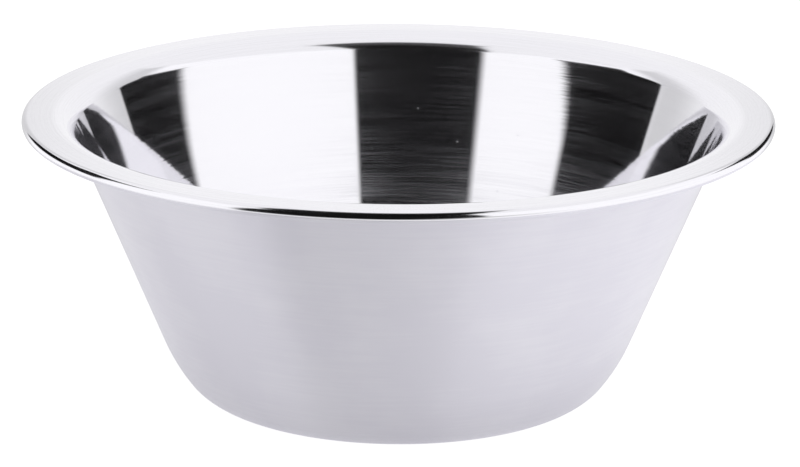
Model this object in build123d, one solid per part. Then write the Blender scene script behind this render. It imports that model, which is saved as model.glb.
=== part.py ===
from build123d import *

# Round pressed-steel shaving bowl: a conical bowl with a wide flat brim and a wired edge.
#
# The bowl is one disc of stainless sheet, drawn into a cone, pressed flat at the base and turned
# out into a brim, whose edge is curled round a ring of wire.
#
# Frame: millimetres, +Z up along the axis of the bowl, origin at the centre of the base on the
# surface that the bowl stands on.

import os
from math import acos, cos, degrees, radians, sin

# ---- driving dimensions (millimetres and degrees) ----------------------------------------

RIM_DIAMETER = 160.0        # over the wired edge
HEIGHT = 61.2               # from the standing surface to the top of the brim
SHEET = 0.6                 # gauge of the stainless sheet
WALL_LEAN = 22.6            # the wall's lean from the vertical

WIRE_DIAMETER = 1.25        # wire ring inside the curled edge
WIRE_CLEARANCE = 0.02       # play between the wire and the curl
CURL_TURN = 285.0           # how far the sheet is rolled round the wire

BEND_RADIUS = 5.6           # upper side of the turn from the wall to the brim

BASE_RADIUS = 39.9          # outer edge of the standing ring
EDGE_RADIUS = 1.5           # small round at that edge
EDGE_TURN = 20.0            # how far the small round turns
CORNER_RADIUS = 11.1        # tight lower stretch of the corner
SHOULDER_RADIUS = 40.0      # slack upper stretch of the corner, which runs into the wall
SHOULDER_TURN = 14.4        # how far that slack stretch turns

PANEL_RADIUS = 33.0         # flat middle of the base, pressed up off the standing ring
PANEL_RAISE = 0.5           # how far the middle stands off the surface below
STEP_RADIUS = 3.0           # both rounds of the step between the middle and the ring

# ---- worked out from the driving dimensions ----------------------------------------------

CURL_RADIUS = WIRE_DIAMETER / 2 + WIRE_CLEARANCE
BEAD_RADIUS = CURL_RADIUS + SHEET
BEAD_CENTRE_RADIUS = RIM_DIAMETER / 2 - BEAD_RADIUS
BEAD_CENTRE_HEIGHT = HEIGHT - BEAD_RADIUS

WALL_SLOPE = 90.0 - WALL_LEAN
SHOULDER_SLOPE = WALL_SLOPE - SHOULDER_TURN
CORNER_TURN = SHOULDER_SLOPE - EDGE_TURN
BEND_UNDER_RADIUS = BEND_RADIUS - SHEET
STEP_TURN = degrees(acos(1.0 - PANEL_RAISE / (2.0 * STEP_RADIUS)))


def arc_run(radius, slope_from, slope_to):
    """Radial distance that an arc covers while its slope changes (degrees)."""
    return abs(radius * (sin(radians(slope_to)) - sin(radians(slope_from))))


def arc_rise(radius, slope_from, slope_to):
    """Height that an arc covers while its slope changes (degrees)."""
    return abs(radius * (cos(radians(slope_from)) - cos(radians(slope_to))))


def wall_length():
    """Length of the straight wall between the slack corner and the turn into the brim."""
    corner_height = (
        arc_rise(EDGE_RADIUS, 0.0, EDGE_TURN)
        + arc_rise(CORNER_RADIUS, EDGE_TURN, SHOULDER_SLOPE)
        + arc_rise(SHOULDER_RADIUS, SHOULDER_SLOPE, WALL_SLOPE)
    )
    bend_height = arc_rise(BEND_UNDER_RADIUS, WALL_SLOPE, 0.0)
    return (HEIGHT - SHEET - corner_height - bend_height) / sin(radians(WALL_SLOPE))


def brim_width():
    """Width of the flat brim between its turn out of the wall and the wired edge."""
    corner_width = (
        arc_run(EDGE_RADIUS, 0.0, EDGE_TURN)
        + arc_run(CORNER_RADIUS, EDGE_TURN, SHOULDER_SLOPE)
        + arc_run(SHOULDER_RADIUS, SHOULDER_SLOPE, WALL_SLOPE)
    )
    wall_width = wall_length() * cos(radians(WALL_SLOPE))
    bend_width = arc_run(BEND_UNDER_RADIUS, WALL_SLOPE, 0.0)
    return BEAD_CENTRE_RADIUS - BASE_RADIUS - corner_width - wall_width - bend_width


def sheet_stretches():
    """The sheet from the axis to the end of its curl: straight lengths, and (radius, turn) arcs.

    Radii are those of the lower side. A positive turn bends the sheet upwards.
    """
    step_width = 2.0 * arc_run(STEP_RADIUS, 0.0, STEP_TURN)
    ring_width = BASE_RADIUS - PANEL_RADIUS - step_width
    return [
        PANEL_RADIUS,
        (STEP_RADIUS, -STEP_TURN),
        (STEP_RADIUS, STEP_TURN),
        ring_width,
        (EDGE_RADIUS, EDGE_TURN),
        (CORNER_RADIUS, CORNER_TURN),
        (SHOULDER_RADIUS, SHOULDER_TURN),
        wall_length(),
        (BEND_UNDER_RADIUS, -WALL_SLOPE),
        brim_width(),
        (CURL_RADIUS, -CURL_TURN),
    ]


def sheet_side(offset):
    """Edges of the side of the sheet that lies `offset` above its lower side."""
    edges = []
    point = Vector(0.0, PANEL_RAISE + offset)
    heading = Vector(1.0, 0.0)
    for stretch in sheet_stretches():
        if isinstance(stretch, tuple):
            radius, turn = stretch
            side_radius = radius - offset if turn > 0 else radius + offset
            edge = JernArc(point, heading, side_radius, turn)
        else:
            edge = Line(point, point + heading * stretch)
        point = edge @ 1
        heading = edge % 1
        edges.append(edge)
    return edges


def bowl_shell():
    """The pressed sheet: base, wall, brim and curl, all one piece of metal."""
    lower = sheet_side(0.0)
    upper = sheet_side(SHEET)
    curl_end = Line(lower[-1] @ 1, upper[-1] @ 1)
    on_axis = Line(lower[0] @ 0, upper[0] @ 0)
    section = make_face(lower + upper + [curl_end, on_axis])
    return revolve(Plane.XZ * section, Axis.Z)


def rim_wire():
    """The wire ring that the edge of the sheet is rolled round."""
    return Pos(0, 0, BEAD_CENTRE_HEIGHT) * Torus(BEAD_CENTRE_RADIUS, WIRE_DIAMETER / 2)


NODES = {
    "bowl_shell": bowl_shell,
    "rim_wire": rim_wire,
}


def main():
    """Build each piece and write it to its own STEP file."""
    os.makedirs("parts", exist_ok=True)
    for node, build in NODES.items():
        piece = build()
        piece.label = node
        export_step(piece, f"parts/{node}.step")
        print(f"{node}: {piece.volume:.1f} mm3, box {piece.bounding_box().size}")
    wall_at_brim = BEAD_CENTRE_RADIUS - brim_width() - arc_run(BEND_UNDER_RADIUS, WALL_SLOPE, 0.0)
    print(f"outer wall radius under the brim's turn: {wall_at_brim:.2f} mm")
    print(f"flat brim width: {brim_width():.2f} mm")


if __name__ == "__main__":
    main()
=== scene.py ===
"""A pressed stainless steel shaving bowl with a wired, curled brim, on a white light table.

The bowl is one sheet turned and curled over an edge wire. Every length is in metres and every
angle in degrees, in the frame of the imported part: +Z up, the bowl standing on Z = 0.
"""

import logging
from dataclasses import dataclass, field
from enum import Enum
from math import acos, cos, degrees, pi, radians, sin
from typing import Union

import bpy
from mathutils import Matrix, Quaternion, Vector


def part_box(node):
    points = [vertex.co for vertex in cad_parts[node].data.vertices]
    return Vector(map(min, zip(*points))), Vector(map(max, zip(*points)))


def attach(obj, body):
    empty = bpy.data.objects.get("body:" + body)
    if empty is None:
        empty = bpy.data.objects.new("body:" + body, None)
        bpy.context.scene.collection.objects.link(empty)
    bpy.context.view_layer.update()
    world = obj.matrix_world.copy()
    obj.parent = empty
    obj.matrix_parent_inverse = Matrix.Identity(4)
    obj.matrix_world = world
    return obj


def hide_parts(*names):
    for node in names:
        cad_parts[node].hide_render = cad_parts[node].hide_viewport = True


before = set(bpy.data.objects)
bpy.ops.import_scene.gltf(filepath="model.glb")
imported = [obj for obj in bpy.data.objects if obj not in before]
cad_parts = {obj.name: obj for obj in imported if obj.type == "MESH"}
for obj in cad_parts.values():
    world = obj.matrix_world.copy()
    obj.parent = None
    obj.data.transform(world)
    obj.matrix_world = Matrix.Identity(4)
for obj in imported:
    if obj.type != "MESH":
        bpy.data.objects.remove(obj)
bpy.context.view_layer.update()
LOG = logging.getLogger("shaving_bowl")
BODY = "root"
TURN = 360.0
UPWARDS = 90.0
DOWNWARDS = -90.0
INWARDS = 180.0
MICRON = 1e-6
MILLIMETRE = 1e-3

Colour = tuple[float, float, float, float]
Point = tuple[float, float]


def grey(level: float, cool: float = 0.0) -> Colour:
    """A neutral colour, cooled towards violet by a share."""
    return (level, level * (1.0 - 0.25 * cool), level * (1.0 + cool), 1.0)


# ---------------------------------------------------------------------------------------------
# Shader bench
# ---------------------------------------------------------------------------------------------


class Value:
    """A number socket in a node tree, with Python's operators standing for Math nodes."""

    def __init__(self, bench: "Bench", socket: bpy.types.NodeSocket) -> None:
        """Keep the tree the socket belongs to."""
        self.bench = bench
        self.socket = socket

    def _math(self, operation: str, *terms: "Number") -> "Value":
        """Add one Math node.

        Args:
            operation: the Math node's operation.
            terms: its inputs in order.

        Returns:
            The node's result.
        """
        return self.bench.value("ShaderNodeMath", {"operation": operation}, dict(enumerate(terms)))

    def __add__(self, other: "Number") -> "Value":
        """self + other."""
        return self._math("ADD", self, other)

    def __radd__(self, other: "Number") -> "Value":
        """other + self."""
        return self._math("ADD", other, self)

    def __sub__(self, other: "Number") -> "Value":
        """self - other."""
        return self._math("SUBTRACT", self, other)

    def __rsub__(self, other: "Number") -> "Value":
        """other - self."""
        return self._math("SUBTRACT", other, self)

    def __mul__(self, other: "Number") -> "Value":
        """self * other."""
        return self._math("MULTIPLY", self, other)

    def __rmul__(self, other: "Number") -> "Value":
        """other * self."""
        return self._math("MULTIPLY", other, self)

    def __truediv__(self, other: "Number") -> "Value":
        """self / other."""
        return self._math("DIVIDE", self, other)

    def __rtruediv__(self, other: "Number") -> "Value":
        """other / self."""
        return self._math("DIVIDE", other, self)

    def __neg__(self) -> "Value":
        """-self."""
        return self._math("MULTIPLY", self, -1.0)

    def __abs__(self) -> "Value":
        """abs(self)."""
        return self._math("ABSOLUTE", self)

    def root(self) -> "Value":
        """The square root."""
        return self._math("SQRT", self)

    def bearing(self, other: "Number") -> "Value":
        """The angle of (other, self), in degrees."""
        return self._math("ARCTAN2", self, other) * degrees(1.0)

    def larger(self, other: "Number") -> "Value":
        """The larger of self and other."""
        return self._math("MAXIMUM", self, other)

    def above(self, other: "Number") -> "Value":
        """1 where self is greater than other, else 0."""
        return self._math("GREATER_THAN", self, other)

    def rise(self, low: "Number", high: "Number") -> "Value":
        """A smooth step from 0 at low to 1 at high."""
        links = {0: self, 1: low, 2: high, 3: 0.0, 4: 1.0}
        return self.bench.value("ShaderNodeMapRange", {"interpolation_type": "SMOOTHSTEP"}, links)

    def fall(self, low: "Number", high: "Number") -> "Value":
        """A smooth step from 1 at low to 0 at high."""
        return 1.0 - self.rise(low, high)


Number = Union[Value, float]
Link = Union[Value, bpy.types.NodeSocket, float, Colour, tuple[float, float, float]]


class Bench:
    """A node tree being wired."""

    def __init__(self, tree: bpy.types.NodeTree) -> None:
        """Empty the tree."""
        self.tree = tree
        tree.nodes.clear()

    def add(
        self,
        kind: str,
        settings: dict[str, object],
        links: dict[Union[str, int], Link],
    ) -> bpy.types.Node:
        """Add one node.

        Args:
            kind: the node's type.
            settings: its properties, set before its sockets.
            links: a value or a link for each named or numbered input.

        Returns:
            The new node.
        """
        node = self.tree.nodes.new(kind)
        for name, setting in settings.items():
            setattr(node, name, setting)
        for key, link in links.items():
            source = link.socket if isinstance(link, Value) else link
            if isinstance(source, bpy.types.NodeSocket):
                self.tree.links.new(source, node.inputs[key])
            else:
                node.inputs[key].default_value = source
        return node

    def value(
        self,
        kind: str,
        settings: dict[str, object],
        links: dict[Union[str, int], Link],
        output: Union[str, int] = 0,
    ) -> Value:
        """Add one node and wrap one of its outputs as a number."""
        return Value(self, self.add(kind, settings, links).outputs[output])

    def split(self, vector: bpy.types.NodeSocket) -> tuple[Value, Value, Value]:
        """The three numbers of a vector."""
        node = self.add("ShaderNodeSeparateXYZ", {}, {0: vector})
        return Value(self, node.outputs[0]), Value(self, node.outputs[1]), Value(self, node.outputs[2])

    def join(self, x: Number, y: Number, z: Number) -> bpy.types.NodeSocket:
        """A vector of three numbers."""
        return self.add("ShaderNodeCombineXYZ", {}, {0: x, 1: y, 2: z}).outputs[0]

    def noise(self, vector: bpy.types.NodeSocket, scale: float, detail: float = 2.0) -> Value:
        """Fractal noise from 0 to 1."""
        links = {"Vector": vector, "Scale": scale, "Detail": detail}
        return self.value("ShaderNodeTexNoise", {"noise_dimensions": "3D"}, links)

    def blend(self, share: Number, low: Link, high: Link) -> bpy.types.NodeSocket:
        """A colour from low at share 0 to high at share 1."""
        links = {0: share, 6: low, 7: high}
        return self.add("ShaderNodeMix", {"data_type": "RGBA"}, links).outputs[2]


@dataclass(frozen=True)
class Lathe:
    """Where a point lies on a turned surface: across the turning and along it."""

    bench: Bench
    height: Value
    across: Value
    east: Value
    north: Value

    @classmethod
    def read(cls, bench: Bench) -> "Lathe":
        """Work out the place from the object's own coordinates.

        Args:
            bench: the tree to add to.

        Returns:
            The place of the shaded point.
        """
        place = bench.add("ShaderNodeTexCoord", {}, {}).outputs["Object"]
        x, y, z = bench.split(place)
        radius = (x * x + y * y).root().larger(MICRON)
        return cls(bench, z, z + radius, x / radius, y / radius)

    def rings(self, pitch: float, spread: float, detail: float = 2.0) -> Value:
        """Uneven rings round the axis, as a cutting or polishing tool leaves them.

        Args:
            pitch: the usual distance between rings, in metres.
            spread: how often a ring changes along its way round.
            detail: octaves of the noise.

        Returns:
            A number from 0 to 1.
        """
        way = self.bench.join(self.east * spread, self.north * spread, self.across / pitch)
        return self.bench.noise(way, 1.0, detail)


@dataclass(frozen=True)
class Ramp:
    """A smooth step between two numbers."""

    low: float
    high: float

    def up(self, value: Value) -> Value:
        """0 below the step and 1 above it."""
        return value.rise(self.low, self.high)

    def down(self, value: Value) -> Value:
        """1 below the step and 0 above it."""
        return value.fall(self.low, self.high)


# ---------------------------------------------------------------------------------------------
# Finishes
# ---------------------------------------------------------------------------------------------

CROSSWISE = 0.25
ALONG = 0.0


@dataclass(frozen=True)
class Lobe:
    """One way the steel reflects: its colour, its blur and the blur's direction."""

    colour: Colour
    roughness: float
    stretch: float = 0.0
    direction: float = CROSSWISE

    def shade(self, bench: Bench, normal: bpy.types.NodeSocket, **extra: Link) -> bpy.types.NodeSocket:
        """Add the lobe's shader.

        Args:
            bench: the tree to add to.
            normal: the bumped normal.
            extra: inputs that change over the surface, by their names with _ for a space.

        Returns:
            The shader's output.
        """
        links: dict[Union[str, int], Link] = {
            "Base Color": self.colour,
            "Metallic": 1.0,
            "Roughness": self.roughness,
            "Anisotropic": self.stretch,
            "Anisotropic Rotation": self.direction,
            "Normal": normal,
        }
        links.update({name.replace("_", " "): link for name, link in extra.items()})
        return bench.add("ShaderNodeBsdfPrincipled", {"distribution": "MULTI_GGX"}, links).outputs[0]


@dataclass(frozen=True)
class RingScale:
    """One scale of polishing rings: pitch and depth are multiples of the finish's own."""

    pitch: float
    spread: float
    depth: float
    streak: float
    streak_edge: Ramp


RING_SCALES = (
    RingScale(pitch=1.0, spread=3.0, depth=1.0, streak=1.1, streak_edge=Ramp(0.4, 0.65)),
    RingScale(pitch=2.6, spread=2.0, depth=2.8, streak=0.6, streak_edge=Ramp(0.45, 0.65)),
    RingScale(pitch=10.0, spread=1.5, depth=4.0, streak=0.5, streak_edge=Ramp(0.3, 0.7)),
)


@dataclass(frozen=True)
class MirrorFinish:
    """A buffed inside: a sharp image under a faint haze, with fine rings and a few dust specks."""

    name: str
    sharp: Lobe
    haze: Lobe
    haze_share: float
    ring_pitch: float
    ring_depth: float
    wave_depth: float
    speck_share: float
    wave_pitch: float = 70.0
    wave_spread: float = 2.5
    wave_detail: float = 1.0
    least_streak: float = 0.25
    bottom_haze: float = 3.2
    bottom: Ramp = Ramp(0.022, 0.042)

    def make(self) -> bpy.types.Material:
        """Build the material."""
        material, bench = new_material(self.name)
        lathe = Lathe.read(bench)
        wave = lathe.rings(self.wave_pitch * self.ring_pitch, self.wave_spread, self.wave_detail)
        depth = wave * self.wave_depth
        streaks: Number = self.least_streak
        for scale in RING_SCALES:
            rings = lathe.rings(scale.pitch * self.ring_pitch, scale.spread)
            depth = depth + rings * (scale.depth * self.ring_depth)
            streaks = streaks + scale.streak * scale.streak_edge.up(rings)
        normal = bump(bench, depth)
        sharp = self.sharp.shade(bench, normal)
        haze = self.haze.shade(bench, normal)
        share = self.haze_share * streaks * (1.0 + self.bottom_haze * self.bottom.down(lathe.height))
        specks = dust(bench, self.speck_share)
        mixed = bench.add("ShaderNodeMixShader", {}, {0: share.larger(specks), 1: sharp, 2: haze})
        return close(bench, material, mixed.outputs[0])


@dataclass(frozen=True)
class SatinFinish:
    """A ring-brushed surface: blurred across the rings, with a fine grain and faint clouding.

    The coarse grain's pitch, depth and clouding are multiples of the fine grain's.
    """

    name: str
    lobe: Lobe
    grain_pitch: float
    grain_depth: float
    clouding: float
    cloud_colour: Colour
    grain_spread: float = 14.0
    coarse_pitch: float = 6.0
    coarse_spread: float = 4.0
    coarse_depth: float = 2.0
    coarse_clouding: float = 0.4
    cloud_scale: float = 45.0
    cloud_detail: float = 3.0
    cloud_edge: Ramp = Ramp(0.3, 0.7)
    least_rough: float = 0.94
    rough_swing: float = 0.12

    def make(self) -> bpy.types.Material:
        """Build the material."""
        material, bench = new_material(self.name)
        lathe = Lathe.read(bench)
        fine = lathe.rings(self.grain_pitch, self.grain_spread)
        coarse = lathe.rings(self.coarse_pitch * self.grain_pitch, self.coarse_spread)
        place = bench.add("ShaderNodeTexCoord", {}, {}).outputs["Object"]
        clouds = bench.noise(place, self.cloud_scale, self.cloud_detail)
        normal = bump(bench, fine * self.grain_depth + coarse * (self.coarse_depth * self.grain_depth))
        bands = self.cloud_edge.up(coarse) * (self.coarse_clouding * self.clouding)
        shade = self.cloud_edge.up(clouds) * self.clouding + bands
        colour = bench.blend(shade, self.lobe.colour, self.cloud_colour)
        rough = self.lobe.roughness * (self.least_rough + self.rough_swing * fine)
        shader = self.lobe.shade(bench, normal, Base_Color=colour, Roughness=rough)
        return close(bench, material, shader)


def new_material(name: str) -> tuple[bpy.types.Material, Bench]:
    """An empty material and its bench."""
    material = bpy.data.materials.new(name)
    material.use_nodes = True
    return material, Bench(material.node_tree)


def close(bench: Bench, material: bpy.types.Material, shader: bpy.types.NodeSocket) -> bpy.types.Material:
    """Lead a shader to the material's output."""
    bench.add("ShaderNodeOutputMaterial", {}, {"Surface": shader})
    return material


def bump(bench: Bench, depth: Value) -> bpy.types.NodeSocket:
    """A normal bent by a height in metres."""
    links = {"Strength": 1.0, "Distance": 1.0, "Height": depth}
    return bench.add("ShaderNodeBump", {}, links).outputs[0]


SPECK_CELLS = 220.0
SPECK_EDGE = Ramp(0.03, 0.06)


def dust(bench: Bench, share: float) -> Value:
    """Single specks of dust, about 0.4 mm across, in cells of which there are 220 to the metre.

    Args:
        bench: the tree to add to.
        share: how many of the cells hold a speck.

    Returns:
        1 on a speck, else 0.
    """
    place = bench.add("ShaderNodeTexCoord", {}, {}).outputs["Object"]
    cells = bench.add("ShaderNodeTexVoronoi", {"feature": "F1"}, {"Vector": place, "Scale": SPECK_CELLS})
    near = SPECK_EDGE.down(Value(bench, cells.outputs["Distance"]))
    chosen = bench.split(cells.outputs["Color"])[0].above(1.0 - share)
    return near * chosen


BRIGHT = 0.86
BRUSHED = 0.82
CLOUDED = 0.95 * BRUSHED
DRAWN = 0.5
DRAWN_CLOUDED = 0.46
INSIDE_MIRROR = MirrorFinish(
    name="inside_mirror",
    sharp=Lobe(grey(BRIGHT, 0.035), roughness=0.05, stretch=0.3),
    haze=Lobe(grey(BRIGHT, 0.06), roughness=0.27, stretch=0.85, direction=ALONG),
    haze_share=0.047,
    ring_pitch=0.3 * MILLIMETRE,
    ring_depth=1.1 * MICRON,
    wave_depth=1.5 * MICRON,
    speck_share=0.10,
)
BRIM_POLISH = MirrorFinish(
    name="brim_polish",
    sharp=Lobe(grey(BRIGHT, 0.04), roughness=0.09, stretch=0.3),
    haze=Lobe(grey(BRIGHT, 0.04), roughness=0.3),
    haze_share=0.06,
    ring_pitch=0.25 * MILLIMETRE,
    ring_depth=0.2 * MICRON,
    wave_depth=1.0 * MICRON,
    speck_share=0.02,
)
WALL_SATIN = SatinFinish(
    name="wall_satin",
    lobe=Lobe(grey(BRUSHED, 0.062), roughness=0.37, stretch=0.95),
    grain_pitch=0.16 * MILLIMETRE,
    grain_depth=0.8 * MICRON,
    clouding=1.0,
    cloud_colour=grey(CLOUDED, 0.075),
)
WIRE_DRAWN = SatinFinish(
    name="wire_drawn",
    lobe=Lobe(grey(DRAWN, 0.02), roughness=0.3),
    grain_pitch=0.1 * MILLIMETRE,
    grain_depth=0.1 * MICRON,
    clouding=0.3,
    cloud_colour=grey(DRAWN_CLOUDED, 0.01),
)


# ---------------------------------------------------------------------------------------------
# Turned meshes
# ---------------------------------------------------------------------------------------------


class Zone(Enum):
    """The zones of the sheet's surface, numbered as its material slots."""

    INSIDE = 0
    BRIM = 1
    OUTSIDE = 2


@dataclass(frozen=True)
class Stretch:
    """One stretch of the sheet's section on its lower side: a straight run, or a bend.

    Its upper side has a zone of its own, and its lower side is always outside.
    """

    length: float = 0.0
    radius: float = 0.0
    turn: float = 0.0
    parts: int = 1
    above: Zone = Zone.INSIDE


@dataclass(frozen=True)
class Mark:
    """A point of a section, the way the surface faces there, and the zone that follows it."""

    radius: float
    height: float
    facing: float
    zone: Zone


@dataclass
class Turning:
    """A closed section turned round the axis into one mesh."""

    marks: list[Mark]
    segments: int = 384
    points: list[Vector] = field(default_factory=list)
    normals: list[Vector] = field(default_factory=list)
    faces: list[tuple[int, ...]] = field(default_factory=list)
    zones: list[int] = field(default_factory=list)

    def _ring(self, mark: Mark) -> list[int]:
        """Add a mark's ring of points, or its one point on the axis.

        Args:
            mark: the section point.

        Returns:
            The indices of the ring's points.
        """
        start = len(self.points)
        slant = radians(mark.facing)
        count = self.segments if mark.radius > MICRON else 1
        for i in range(count):
            angle = 2.0 * pi * i / self.segments
            east, north = (cos(angle), sin(angle)) if count > 1 else (0.0, 0.0)
            self.points.append(Vector((mark.radius * east, mark.radius * north, mark.height)))
            self.normals.append(Vector((cos(slant) * east, cos(slant) * north, sin(slant))).normalized())
        return list(range(start, start + count))

    def _band(self, inner: list[int], outer: list[int], zone: Zone) -> None:
        """Add the faces between two rings that follow each other."""
        for i in range(self.segments):
            j = (i + 1) % self.segments
            a, b = inner[i % len(inner)], inner[j % len(inner)]
            c, d = outer[j % len(outer)], outer[i % len(outer)]
            corners = tuple(dict.fromkeys((a, b, c, d)))
            if len(corners) > 2:
                self.faces.append(corners)
                self.zones.append(zone.value)

    def build(self, name: str, closed: bool) -> bpy.types.Object:
        """Make the object.

        Args:
            name: the piece's name.
            closed: whether the last mark joins the first.

        Returns:
            The new object, linked to the scene.
        """
        rings = [self._ring(mark) for mark in self.marks]
        pairs = list(zip(range(len(rings) - 1), range(1, len(rings))))
        if closed:
            pairs.append((len(rings) - 1, 0))
        for first, second in pairs:
            self._band(rings[first], rings[second], self.marks[first].zone)
        mesh = bpy.data.meshes.new(name)
        mesh.from_pydata(self.points, [], self.faces)
        mesh.polygons.foreach_set("material_index", self.zones)
        mesh.polygons.foreach_set("use_smooth", [True] * len(self.faces))
        mesh.normals_split_custom_set_from_vertices(self.normals)
        mesh.update()
        piece = bpy.data.objects.new(name, mesh)
        bpy.context.scene.collection.objects.link(piece)
        return piece


# ---------------------------------------------------------------------------------------------
# The bowl
# ---------------------------------------------------------------------------------------------


@dataclass
class BowlSheet:
    """The bowl pressed from one sheet: raised base panel, slanting wall, flat brim and curled bead."""

    rim_radius: float
    height: float
    sheet: float = 0.6 * MILLIMETRE
    wall_lean: float = 22.6
    curl_radius: float = 0.645 * MILLIMETRE
    bright_turn: float = 100.0
    curl_turn: float = 285.0
    bend_radius: float = 5.6 * MILLIMETRE
    base_radius: float = 39.9 * MILLIMETRE
    edge_radius: float = 1.5 * MILLIMETRE
    edge_turn: float = 20.0
    corner_radius: float = 11.1 * MILLIMETRE
    shoulder_radius: float = 40.0 * MILLIMETRE
    shoulder_turn: float = 14.4
    panel_radius: float = 33.0 * MILLIMETRE
    panel_raise: float = 0.5 * MILLIMETRE
    step_radius: float = 3.0 * MILLIMETRE

    @property
    def bead_radius(self) -> float:
        """The outer radius of the curled bead."""
        return self.curl_radius + self.sheet

    @property
    def satin_turn(self) -> float:
        """How far the curl goes on turning under the bead, where its finish is the wall's."""
        return self.curl_turn - self.bright_turn

    @property
    def wall_slope(self) -> float:
        """The wall's angle above the level."""
        return 90.0 - self.wall_lean

    @property
    def corner_turn(self) -> float:
        """How far the corner turns between the base edge and the shoulder."""
        return self.wall_slope - self.shoulder_turn - self.edge_turn

    @property
    def step_turn(self) -> float:
        """How far each bend of the panel's step turns."""
        return degrees(acos(1.0 - self.panel_raise / (2.0 * self.step_radius)))

    def _arc(self, radius: float, start: float, turn: float) -> Point:
        """How far a bend goes outwards and upwards."""
        first, last = radians(start), radians(start + turn)
        return radius * (sin(last) - sin(first)), radius * (cos(first) - cos(last))

    def _wall_and_brim(self) -> tuple[float, float]:
        """The lengths of the straight wall and of the flat brim, from the rim's size and height."""
        step = 2.0 * self.step_radius * sin(radians(self.step_turn))
        ring = self.base_radius - self.panel_radius - step
        edge = self._arc(self.edge_radius, 0.0, self.edge_turn)
        corner = self._arc(self.corner_radius, self.edge_turn, self.corner_turn)
        shoulder_start = self.edge_turn + self.corner_turn
        shoulder = self._arc(self.shoulder_radius, shoulder_start, self.shoulder_turn)
        inner_bend = self.bend_radius - self.sheet
        bend_out = inner_bend * sin(radians(self.wall_slope))
        bend_up = inner_bend * (1.0 - cos(radians(self.wall_slope)))
        brim_height = self.height - self.sheet
        wall_up = brim_height - bend_up - edge[1] - corner[1] - shoulder[1]
        wall = wall_up / sin(radians(self.wall_slope))
        reached = self.panel_radius + step + ring + edge[0] + corner[0] + shoulder[0]
        reached += wall * cos(radians(self.wall_slope)) + bend_out
        brim = self.rim_radius - self.bead_radius - reached
        return wall, brim

    def section(self) -> list[Stretch]:
        """The sheet's stretches on its lower side, from the axis to the curl's tip."""
        step = 2.0 * self.step_radius * sin(radians(self.step_turn))
        ring = self.base_radius - self.panel_radius - step
        wall, brim = self._wall_and_brim()
        inner_bend = self.bend_radius - self.sheet
        return [
            Stretch(length=self.panel_radius, parts=4),
            Stretch(radius=self.step_radius, turn=-self.step_turn, parts=6),
            Stretch(radius=self.step_radius, turn=self.step_turn, parts=6),
            Stretch(length=ring, parts=2),
            Stretch(radius=self.edge_radius, turn=self.edge_turn, parts=5),
            Stretch(radius=self.corner_radius, turn=self.corner_turn, parts=9),
            Stretch(radius=self.shoulder_radius, turn=self.shoulder_turn, parts=6),
            Stretch(length=wall, parts=12),
            Stretch(radius=inner_bend, turn=-self.wall_slope, parts=18, above=Zone.BRIM),
            Stretch(length=brim, parts=3, above=Zone.BRIM),
            Stretch(radius=self.curl_radius, turn=-self.bright_turn, parts=14, above=Zone.BRIM),
            Stretch(radius=self.curl_radius, turn=-self.satin_turn, parts=22, above=Zone.OUTSIDE),
        ]

    def _side(self, upper: bool) -> list[Mark]:
        """Walk the section on one side of the sheet.

        Args:
            upper: whether to walk the upper side.

        Returns:
            The marks from the axis to the curl's tip.
        """
        rise = self.sheet if upper else 0.0
        turned = UPWARDS if upper else DOWNWARDS
        out, up, heading = 0.0, self.panel_raise + rise, 0.0
        marks: list[Mark] = []
        for stretch in self.section():
            zone = stretch.above if upper else Zone.OUTSIDE
            left = 1.0 if stretch.turn > 0.0 else -1.0
            radius = stretch.radius - rise * left
            for i in range(stretch.parts):
                marks.append(Mark(out, up, heading + turned, zone))
                if stretch.length:
                    out += stretch.length / stretch.parts * cos(radians(heading))
                    up += stretch.length / stretch.parts * sin(radians(heading))
                    continue
                first, last = radians(heading), radians(heading + stretch.turn / stretch.parts)
                out += radius * left * (sin(last) - sin(first))
                up += radius * left * (cos(first) - cos(last))
                heading += stretch.turn / stretch.parts
        marks.append(Mark(out, up, heading + turned, Zone.OUTSIDE))
        return marks

    def outline(self) -> list[Mark]:
        """The whole section: out along the lower side and back along the upper side."""
        lower = self._side(upper=False)
        upper = self._side(upper=True)
        back: list[Mark] = []
        for i in range(len(upper) - 1, -1, -1):
            zone = upper[i - 1].zone if i else Zone.INSIDE
            back.append(Mark(upper[i].radius, upper[i].height, upper[i].facing, zone))
        return lower + back

    def build(self) -> bpy.types.Object:
        """Make the sheet as one dense mesh."""
        return Turning(self.outline()).build("bowl_sheet", closed=False)

    def dress(self, piece: bpy.types.Object) -> None:
        """Give each zone of the sheet its finish."""
        for finish in (INSIDE_MIRROR, BRIM_POLISH, WALL_SATIN):
            piece.data.materials.append(finish.make())


@dataclass
class EdgeWire:
    """The round wire that the brim is curled over."""

    ring_radius: float
    height: float
    wire_radius: float = 0.625 * MILLIMETRE
    parts: int = 16

    def build(self) -> bpy.types.Object:
        """Make the wire as one ring."""
        marks = []
        for i in range(self.parts):
            angle = TURN * i / self.parts
            out = self.ring_radius + self.wire_radius * cos(radians(angle))
            up = self.height + self.wire_radius * sin(radians(angle))
            marks.append(Mark(out, up, angle, Zone.INSIDE))
        return Turning(marks).build("edge_wire", closed=True)

    def dress(self, piece: bpy.types.Object) -> None:
        """Give the wire its drawn finish."""
        piece.data.materials.append(WIRE_DRAWN.make())


# ---------------------------------------------------------------------------------------------
# The light table
# ---------------------------------------------------------------------------------------------


@dataclass(frozen=True)
class Side:
    """One upright side of an opening in the tent, which may lean over as it rises."""

    bearing: Ramp
    lean: float
    leaning: Ramp

    def past(self, bearing: Value, height: Value) -> Value:
        """0 on the side's left and 1 on its right."""
        return self.bearing.up(bearing - self.lean * self.leaning.up(height))


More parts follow.
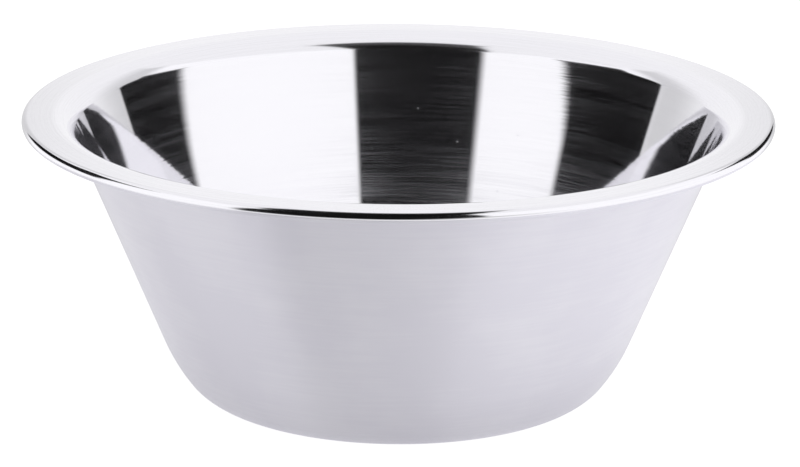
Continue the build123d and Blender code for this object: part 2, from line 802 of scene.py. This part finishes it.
@dataclass(frozen=True)
class Gap:
    """An opening in the tent's wall between two sides, a sill and a top."""

    first: Side
    last: Side
    sill: Ramp
    top: Ramp

    def opened(self, bearing: Value, height: Value) -> Value:
        """1 in the opening, else 0."""
        span = self.first.past(bearing, height) * (1.0 - self.last.past(bearing, height))
        return span * self.top.down(height) * self.sill.up(height)


@dataclass(frozen=True)
class LightTent:
    """A small round tent of white panels over the bowl, with an open front and two side gaps.

    Bearings run from 0 at the open front to 180 behind, and are positive to the right. A slot in
    the roof runs forward from above the bowl, and widens towards the front.
    """

    reach: float = 0.200
    roof: float = 0.230
    segments: int = 96
    panel: float = 1.12
    backdrop: float = 1.0
    backdrop_edge: float = 0.72
    backdrop_fade: Ramp = Ramp(136.0, 164.0)
    backdrop_start: Ramp = Ramp(118.0, 132.0)
    dark: float = 0.004
    front_left: Ramp = Ramp(-41.5, -36.5)
    front_right: Ramp = Ramp(19.2, 22.2)
    low_right: Ramp = Ramp(-5.0, 50.0)
    low: Ramp = Ramp(0.05, 0.07)
    front_sill: Ramp = Ramp(0.0, 0.05)
    left_gap: Gap = Gap(
        first=Side(bearing=Ramp(-128.2, -126.8), lean=15.5, leaning=Ramp(0.115, 0.175)),
        last=Side(bearing=Ramp(-85.4, -80.9), lean=10.0, leaning=Ramp(0.14, 0.20)),
        sill=Ramp(0.07, 0.08),
        top=Ramp(0.19, 0.205),
    )
    right_gap: Gap = Gap(
        first=Side(bearing=Ramp(106.0, 111.0), lean=-10.0, leaning=Ramp(0.10, 0.18)),
        last=Side(bearing=Ramp(137.3, 138.7), lean=-10.0, leaning=Ramp(0.105, 0.145)),
        sill=Ramp(0.07, 0.08),
        top=Ramp(0.15, 0.165),
    )
    slot_back: Ramp = Ramp(0.0, 0.024)
    slot_half_width: float = 0.060
    slot_blur: float = 0.008
    slot_spread_start: float = 0.03
    slot_spread_left: float = 0.64
    slot_spread_right: float = 0.08
    slot_haze: float = 0.05
    slot_haze_end: Ramp = Ramp(0.05, 0.09)

    def _open_front(self, bearing: Value, height: Value) -> Value:
        """The open front. Just above the table its right side fades out and it is less dark."""
        near_table = self.low.down(height)
        upper = self.front_right.down(bearing) * (1.0 - near_table)
        lower = self.low_right.down(bearing) * near_table
        return self.front_left.up(bearing) * (upper + lower) * self.front_sill.up(height)

    def _open_roof(self, east: Value, front: Value) -> Value:
        """The slot in the roof."""
        spread = (front - self.slot_spread_start).larger(0.0)
        left = -1.0 * self.slot_half_width - self.slot_spread_left * spread
        right = self.slot_half_width + self.slot_spread_right * spread
        past_left = east.rise(left - self.slot_blur, left + self.slot_blur)
        before_right = east.fall(right - self.slot_blur, right + self.slot_blur)
        return past_left * before_right * self.slot_back.up(front)

    def _fabric(self) -> bpy.types.Material:
        """The glow of the panels and the dark of the openings."""
        material, bench = new_material("tent_fabric")
        x, y, z = bench.split(bench.add("ShaderNodeTexCoord", {}, {}).outputs["Object"])
        front = -y
        bearing = x.bearing(front)
        away = abs(bearing)
        behind = self.backdrop_edge + (self.backdrop - self.backdrop_edge) * self.backdrop_fade.up(away)
        wall_glow = self.panel + (behind - self.panel) * self.backdrop_start.up(away)
        wall_open = self._open_front(bearing, z).larger(self.left_gap.opened(bearing, z))
        wall_open = wall_open.larger(self.right_gap.opened(bearing, z))
        on_roof = z.above(self.roof - MILLIMETRE)
        opened = wall_open * (1.0 - on_roof) + self._open_roof(x, front) * on_roof
        white = wall_glow * (1.0 - on_roof) + self.backdrop * on_roof
        dark = self.dark + self.slot_haze * (on_roof * self.slot_haze_end.down(front))
        level = white * (1.0 - opened) + dark * opened
        light = bench.blend(level / self.panel, grey(0.0), grey(self.panel))
        glow = bench.add("ShaderNodeEmission", {}, {"Color": light, "Strength": 1.0})
        return close(bench, material, glow.outputs[0])

    def pitch(self) -> bpy.types.Object:
        """Set up the tent. It lights the bowl and isn't looked at itself."""
        marks = [
            Mark(self.reach, 0.0, INWARDS, Zone.INSIDE),
            Mark(self.reach, self.roof, INWARDS, Zone.INSIDE),
            Mark(0.0, self.roof, DOWNWARDS, Zone.INSIDE),
        ]
        tent = Turning(marks, segments=self.segments).build("light_tent", closed=False)
        tent.data.materials.append(self._fabric())
        tent.visible_camera = False
        return tent


@dataclass(frozen=True)
class WhiteTable:
    """The table top: a sheet that is looked at, over one that gives the bowl its light from below.

    The lower sheet's glow is painted light and shade: it glows more on its right, a painted pool of
    light, and less close to the bowl, a painted shadow of the bowl, and far in front of it, painted
    shade. The three shades are how much less, as multiples of how much more it glows on the right.
    """

    reach: float = 4.8
    segments: int = 96
    seen_level: float = -0.05 * MILLIMETRE
    bounce_level: float = -0.10 * MILLIMETRE
    seen_glow: float = 0.90
    seen_bounce: float = 0.30
    lit_glow: float = 0.68
    lit_bounce: float = 0.26
    # Painted light and shade in the lower sheet's glow: brighter on the right, a painted shadow close to
    # the bowl, darker far in front.
    painted_right_light: float = 0.26
    right_skew: float = 0.35
    right_side: Ramp = Ramp(-0.07, 0.12)
    clear_of_bowl: Ramp = Ramp(0.036, 0.085)
    far_front: Ramp = Ramp(0.15, 0.21)
    painted_shadow_left: float = 0.8
    painted_shadow_right: float = 0.4
    painted_front_shade: float = 3.4
    world_glow: float = 1.2

    def _paper(self, name: str, bounce: float, glow: float, gain: float) -> bpy.types.Material:
        """White paper that also glows, and is clear from below. Where it has a gain, its glow is painted
        light and shade: brighter on the right, a painted shadow close to the bowl, painted shade far in
        front.

        Args:
            name: the material's name.
            bounce: how much of the light on it goes back.
            glow: its own light.
            gain: how much more it glows on the right, as painted light.

        Returns:
            The new material.
        """
        material, bench = new_material(name)
        x, y, _ = bench.split(bench.add("ShaderNodeTexCoord", {}, {}).outputs["Object"])
        # Painted shadow of the bowl: the glow is lower close to the bowl's base.
        clear_of_bowl = self.clear_of_bowl.up((x * x + y * y).root())
        left = bench.blend(clear_of_bowl, grey(1.0 - self.painted_shadow_left * gain), grey(1.0))
        # Painted shade: the glow is lower far in front of the bowl.
        left = bench.blend(self.far_front.up(-y), left, grey(1.0 - self.painted_front_shade * gain))
        right = bench.blend(clear_of_bowl, grey(1.0 - self.painted_shadow_right * gain), grey(1.0 + gain))
        # Painted pool of light: the glow is brighter on the right.
        light = bench.blend(self.right_side.up(x - self.right_skew * y), left, right)
        links: dict[Union[str, int], Link] = {
            "Base Color": grey(bounce),
            "Roughness": 1.0,
            "Specular IOR Level": 0.0,
            "Emission Color": light,
            "Emission Strength": glow,
        }
        paper = bench.add("ShaderNodeBsdfPrincipled", {}, links)
        clear = bench.add("ShaderNodeBsdfTransparent", {}, {})
        under = bench.add("ShaderNodeNewGeometry", {}, {}).outputs["Backfacing"]
        mixed = bench.add("ShaderNodeMixShader", {}, {0: under, 1: paper.outputs[0], 2: clear.outputs[0]})
        return close(bench, material, mixed.outputs[0])

    def _sheet(self, name: str, height: float, material: bpy.types.Material) -> bpy.types.Object:
        """One round sheet of the table top."""
        marks = [Mark(self.reach, height, UPWARDS, Zone.INSIDE), Mark(0.0, height, UPWARDS, Zone.INSIDE)]
        sheet = Turning(marks, segments=self.segments).build(name, closed=False)
        sheet.data.materials.append(material)
        return sheet

    def lay(self) -> None:
        """Lay both sheets and light the surroundings."""
        seen = self._paper("table_white", self.seen_bounce, self.seen_glow, 0.0)
        top = self._sheet("table_top", self.seen_level, seen)
        top.visible_diffuse = False
        top.visible_glossy = False
        top.visible_transmission = False
        top.visible_shadow = False
        # The lower sheet's glow carries the painted light and shadow; the upper sheet glows evenly.
        lit = self._paper("table_bounce", self.lit_bounce, self.lit_glow, self.painted_right_light)
        self._sheet("table_bounce", self.bounce_level, lit).visible_camera = False
        world = bpy.data.worlds.new("white_surroundings")
        world.use_nodes = True
        bench = Bench(world.node_tree)
        glow = bench.add("ShaderNodeBackground", {}, {"Strength": self.world_glow})
        bench.add("ShaderNodeOutputWorld", {}, {"Surface": glow.outputs[0]})
        bpy.context.scene.world = world


@dataclass(frozen=True)
class TableCamera:
    """A long lens in front of the bowl, a little above it."""

    distance: float = 1.0
    elevation: float = 16.36
    pivot_height: float = 0.030
    aim: tuple[float, float, float] = (0.46 * MILLIMETRE, 0.0, 34.03 * MILLIMETRE)
    roll: float = 0.34
    lens: float = 209.75
    sensor: float = 36.0

    def place(self) -> bpy.types.Object:
        """Make the scene's camera."""
        data = bpy.data.cameras.new("table_camera")
        data.lens = self.lens
        data.sensor_width = self.sensor
        camera = bpy.data.objects.new("table_camera", data)
        bpy.context.scene.collection.objects.link(camera)
        angle = radians(self.elevation)
        back = Vector((0.0, -cos(angle), sin(angle)))
        camera.location = Vector((0.0, 0.0, self.pivot_height)) + back * self.distance
        facing = (Vector(self.aim) - camera.location).to_track_quat("-Z", "Y")
        camera.rotation_mode = "QUATERNION"
        camera.rotation_quaternion = facing @ Quaternion((0.0, 0.0, 1.0), radians(self.roll))
        bpy.context.scene.camera = camera
        return camera


def fit(piece: bpy.types.Object, node: str) -> None:
    """Let a piece ride on the bowl's body and stand for a node, whose own part is hidden."""
    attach(piece, BODY)
    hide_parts(node)
    LOG.info("%s: %d faces, stands for %s", piece.name, len(piece.data.polygons), node)


def main() -> None:
    """Build the bowl, its wire, the table and the camera."""
    logging.basicConfig(level=logging.INFO, format="%(name)s: %(message)s")
    bpy.context.scene.view_settings.view_transform = "Standard"
    low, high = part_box("bowl_shell")
    bowl = BowlSheet(rim_radius=high.x, height=high.z)
    sheet = bowl.build()
    bowl.dress(sheet)
    fit(sheet, "bowl_shell")
    wire_low, wire_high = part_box("rim_wire")
    wire = EdgeWire(ring_radius=wire_high.x - EdgeWire.wire_radius, height=(wire_low.z + wire_high.z) / 2.0)
    ring = wire.build()
    wire.dress(ring)
    fit(ring, "rim_wire")
    LightTent().pitch()
    WhiteTable().lay()
    TableCamera().place()


if __name__ == "__main__":
    main()
